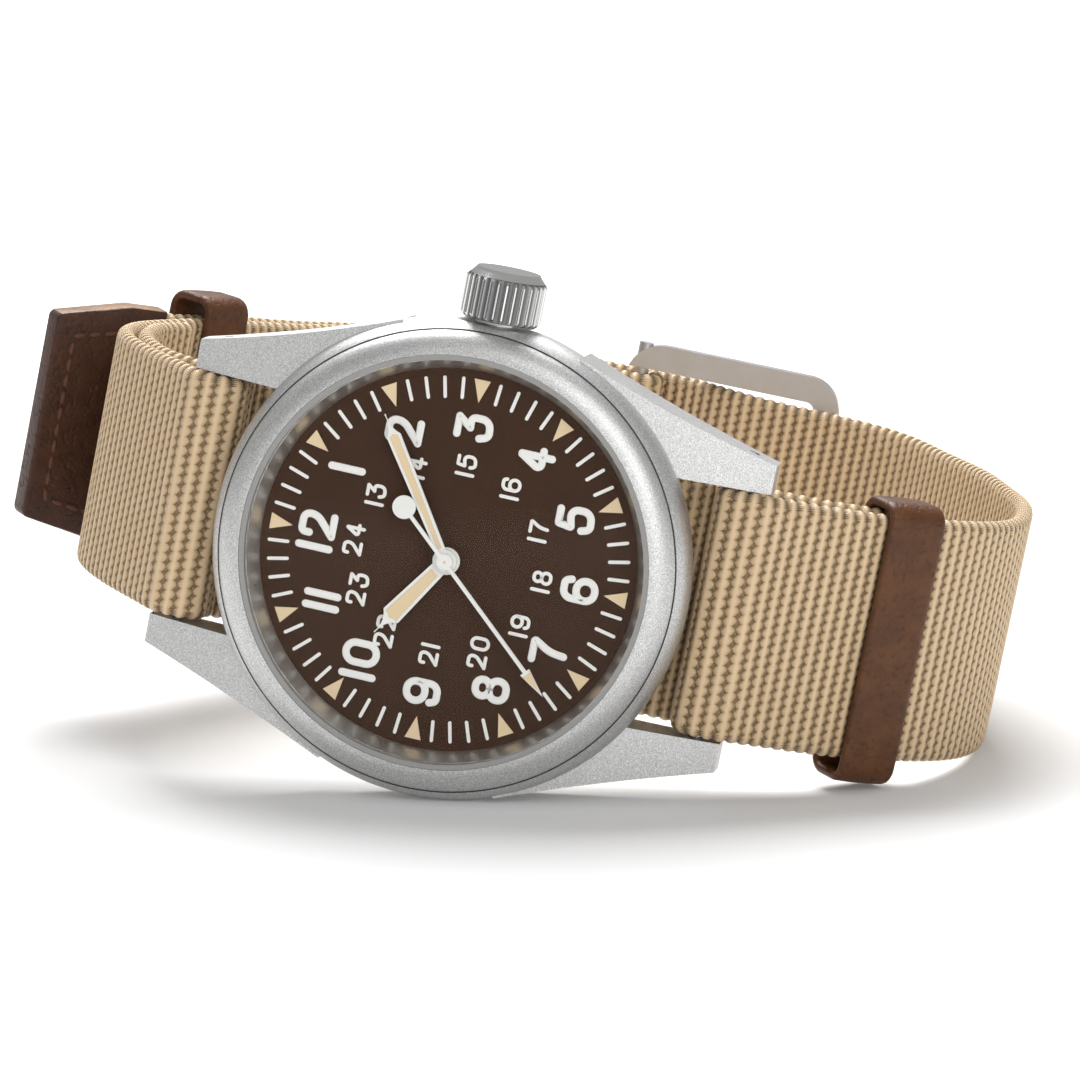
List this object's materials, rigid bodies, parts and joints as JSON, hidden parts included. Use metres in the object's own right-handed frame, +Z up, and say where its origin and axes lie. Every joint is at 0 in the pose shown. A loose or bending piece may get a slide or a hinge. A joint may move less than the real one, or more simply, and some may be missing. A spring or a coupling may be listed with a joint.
{
  "type": "field watch",
  "caption": "Hand-wound field watch with a round lugged steel case, fluted crown, plain numbered dial and a closed ribbed strap with leather keepers and a pin buckle.",
  "frame": {"origin": "bottom centre of the bounding box, where the case, strap and buckle rest on the ground", "axes": "+X along the watch from 12 toward 6 o'clock, +Y from the dial toward the buckle, +Z up, with the crown on top and the watch lying on its 9 o'clock side, rolled about its dial axis as pictured"},
  "size_m": [0.0861, 0.0715, 0.0419],
  "materials": {
    "case_steel": "bead blasted",
    "polished_steel": "polished",
    "movement_steel": "polished",
    "plated_brass": "plated, fine grained",
    "gear_brass": "polished",
    "spacer_plastic": "moulded",
    "ruby": "polished",
    "dial_paint": "matt",
    "print_white": "printed",
    "lume": "luminous paint",
    "hand_white": "satin",
    "sapphire": "polished",
    "gasket_rubber": "smooth",
    "woven_strap": "ribbed weave",
    "brown_leather": "pebbled"
  },
  "bodies": {
    "case": {"back_gasket": "gasket_rubber", "balance_cock": "plated_brass", "barrel_bridge": "plated_brass", "bezel": "case_steel", "bridge_screws": "movement_steel", "case_back": "polished_steel", "crown_tube": "polished_steel", "crystal": "sapphire", "crystal_gasket": "gasket_rubber", "dial": "dial_paint", "fork_bridge": "plated_brass", "hairspring": "movement_steel", "inner_flange": "polished_steel", "jewels": "ruby", "leather_keeper": "brown_leather", "leather_loop": "brown_leather", "leather_tip": "brown_leather", "lume_triangles": "lume", "main_plate": "plated_brass", "main_strap": "woven_strap", "mid_case": "case_steel", "minute_marks": "print_white", "movement_ring": "spacer_plastic", "spring_bars": "polished_steel", "train_bridge": "plated_brass", "under_strap": "woven_strap"},
    "clutch": {"sliding_pinion": "movement_steel", "winding_pinion": "movement_steel"},
    "crown_group": {"crown": "polished_steel", "winding_stem": "movement_steel", "crown_gasket": "gasket_rubber"},
    "crown_wheel_body": {"crown_wheel": "movement_steel"},
    "ratchet": {"ratchet_wheel": "movement_steel", "barrel_arbor": "movement_steel"},
    "click_body": {"click": "movement_steel"},
    "minute": {"minute_hand": "hand_white", "minute_lume": "lume", "cannon_pinion": "movement_steel"},
    "hour": {"hour_hand": "hand_white", "hour_lume": "lume", "hour_wheel": "gear_brass"},
    "motion": {"minute_wheel": "gear_brass"},
    "seconds": {"seconds_hand": "hand_white", "fourth_wheel": "gear_brass"},
    "third": {"third_wheel": "gear_brass"},
    "centre": {"centre_wheel": "gear_brass"},
    "barrel": {"mainspring_barrel": "gear_brass", "barrel_cover": "gear_brass", "mainspring": "movement_steel"},
    "escape": {"escape_wheel": "gear_brass"},
    "fork": {"pallet_fork": "movement_steel"},
    "balance": {"balance_wheel": "gear_brass"},
    "buckle": {"buckle_frame": "polished_steel", "buckle_bar": "polished_steel"},
    "tongue": {"buckle_tongue": "polished_steel"},
    "spring_tip_1": {"spring_bar_tip_1": "polished_steel"},
    "spring_tip_2": {"spring_bar_tip_2": "polished_steel"},
    "spring_tip_3": {"spring_bar_tip_3": "polished_steel"},
    "spring_tip_4": {"spring_bar_tip_4": "polished_steel"}
  },
  "joints": [
    {"name": "crown_turn", "type": "hinge", "parent": "case", "child": "clutch", "pos_m": [0.00207, -0.02935, 0.02963], "axis": [0.1903, 0.0415, 0.9808], "continuous": true},
    {"name": "crown_pull", "type": "slide", "parent": "clutch", "child": "crown_group", "axis": [0.1903, 0.0415, 0.9808], "range_m": [0, 0.001]},
    {"name": "crown_wheel_turn", "type": "hinge", "parent": "case", "child": "crown_wheel_body", "pos_m": [0.00171, -0.02798, 0.02767], "axis": [0, -0.9991, 0.0423], "continuous": true},
    {"name": "ratchet_turn", "type": "hinge", "parent": "case", "child": "ratchet", "pos_m": [-0.00407, -0.02818, 0.02308], "axis": [0, -0.9991, 0.0423], "continuous": true},
    {"name": "click_swing", "type": "hinge", "parent": "case", "child": "click_body", "pos_m": [-0.00803, -0.02837, 0.01853], "axis": [0, -0.9991, 0.0423], "range_deg": [0, 8], "stiffness_Nm_per_rad": 0.0002, "springref_deg": -11.46},
    {"name": "minute_turn", "type": "hinge", "parent": "case", "child": "minute", "pos_m": [0, -0.03281, 0.01907], "axis": [0, -0.9991, 0.0423], "continuous": true},
    {"name": "hour_turn", "type": "hinge", "parent": "case", "child": "hour", "pos_m": [0, -0.03245, 0.01905], "axis": [0, -0.9991, 0.0423], "continuous": true},
    {"name": "motion_turn", "type": "hinge", "parent": "case", "child": "motion", "pos_m": [0.00243, -0.03139, 0.01808], "axis": [0, -0.9991, 0.0423], "continuous": true},
    {"name": "seconds_turn", "type": "hinge", "parent": "case", "child": "seconds", "pos_m": [0, -0.03317, 0.01909], "axis": [0, -0.9991, 0.0423], "continuous": true},
    {"name": "third_turn", "type": "hinge", "parent": "case", "child": "third", "pos_m": [0.00071, -0.02914, 0.01447], "axis": [0, -0.9991, 0.0423], "continuous": true},
    {"name": "centre_turn", "type": "hinge", "parent": "case", "child": "centre", "pos_m": [0, -0.02965, 0.01894], "axis": [0, -0.9991, 0.0423], "continuous": true},
    {"name": "barrel_turn", "type": "hinge", "parent": "case", "child": "barrel", "pos_m": [-0.00407, -0.03017, 0.02317], "axis": [0, -0.9991, 0.0423], "continuous": true},
    {"name": "escape_turn", "type": "hinge", "parent": "case", "child": "escape", "pos_m": [0.00453, -0.02947, 0.01846], "axis": [0, -0.9991, 0.0423], "continuous": true},
    {"name": "fork_swing", "type": "hinge", "parent": "case", "child": "fork", "pos_m": [0.00603, -0.02949, 0.02038], "axis": [0, -0.9991, 0.0423], "range_deg": [-5, 5]},
    {"name": "balance_swing", "type": "hinge", "parent": "case", "child": "balance", "pos_m": [0.00775, -0.0289, 0.02257], "axis": [0, -0.9991, 0.0423], "range_deg": [-270, 270], "stiffness_Nm_per_rad": 0.00000005},
    {"name": "buckle_swing", "type": "hinge", "parent": "case", "child": "buckle", "pos_m": [0.00255, 0.03187, 0.01584], "axis": [0.1903, 0.0415, 0.9808], "range_deg": [0, 6]},
    {"name": "tongue_swing", "type": "hinge", "parent": "buckle", "child": "tongue", "pos_m": [0.00255, 0.03187, 0.01584], "axis": [0.1903, 0.0415, 0.9808], "range_deg": [0, 8]},
    {"name": "spring_tip_1_press", "type": "slide", "parent": "case", "child": "spring_tip_1", "axis": [-0.1903, -0.0415, -0.9808], "range_m": [0, 0.0014], "stiffness_N_per_m": 300, "springref_m": -0.001},
    {"name": "spring_tip_2_press", "type": "slide", "parent": "case", "child": "spring_tip_2", "axis": [0.1903, 0.0415, 0.9808], "range_m": [0, 0.0014], "stiffness_N_per_m": 300, "springref_m": -0.001},
    {"name": "spring_tip_3_press", "type": "slide", "parent": "case", "child": "spring_tip_3", "axis": [-0.1903, -0.0415, -0.9808], "range_m": [0, 0.0014], "stiffness_N_per_m": 300, "springref_m": -0.001},
    {"name": "spring_tip_4_press", "type": "slide", "parent": "case", "child": "spring_tip_4", "axis": [0.1903, 0.0415, 0.9808], "range_m": [0, 0.0014], "stiffness_N_per_m": 300, "springref_m": -0.001}
  ],
  "couplings": [
    {"joint": "crown_wheel_turn", "follows": "crown_turn", "ratio": 0.61538},
    {"joint": "ratchet_turn", "follows": "crown_turn", "ratio": -0.33333},
    {"joint": "hour_turn", "follows": "minute_turn", "ratio": 0.083333},
    {"joint": "motion_turn", "follows": "minute_turn", "ratio": -0.33333},
    {"joint": "third_turn", "follows": "seconds_turn", "ratio": -0.13333},
    {"joint": "centre_turn", "follows": "seconds_turn", "ratio": 0.016667},
    {"joint": "barrel_turn", "follows": "seconds_turn", "ratio": -0.0025641},
    {"joint": "escape_turn", "follows": "seconds_turn", "ratio": -12}
  ]
}
